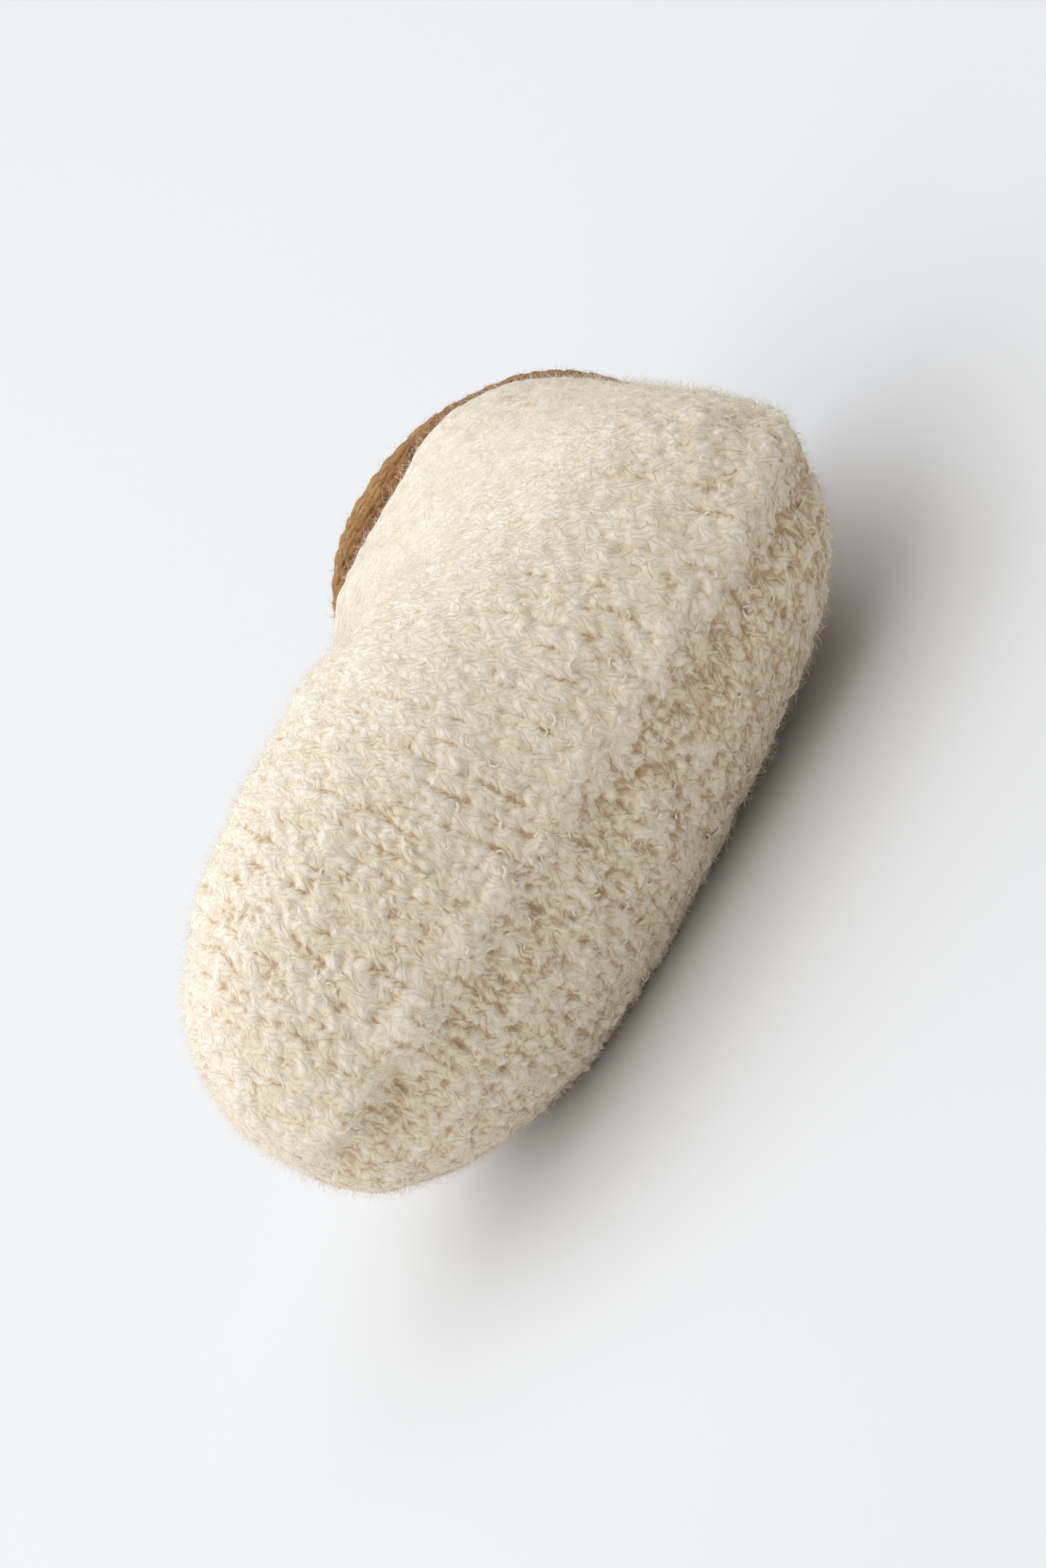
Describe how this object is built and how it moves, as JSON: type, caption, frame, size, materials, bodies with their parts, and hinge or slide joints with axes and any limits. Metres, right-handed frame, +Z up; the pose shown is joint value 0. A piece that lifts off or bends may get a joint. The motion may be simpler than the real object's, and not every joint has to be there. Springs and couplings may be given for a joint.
{
  "type": "baby bootie",
  "caption": "Soft knitted baby bootie in cream boucle wool with a brown band round its opening, lying on its side with the sole seam in view.",
  "frame": {"origin": "on the floor under the middle of the bootie's box, as it lies on its right side", "axes": "+X from toe to heel, +Y from the sole to the opening, +Z up from the floor to the left side of the foot"},
  "size_m": [0.1092, 0.0614, 0.0536],
  "materials": {
    "cream_wool": "fluffy boucle knit, matt",
    "brown_wool": "fuzzy knitted band, matt"
  },
  "bodies": {
    "root": {"knit_foot": "cream_wool", "collar_band": "brown_wool"}
  },
  "joints": []
}
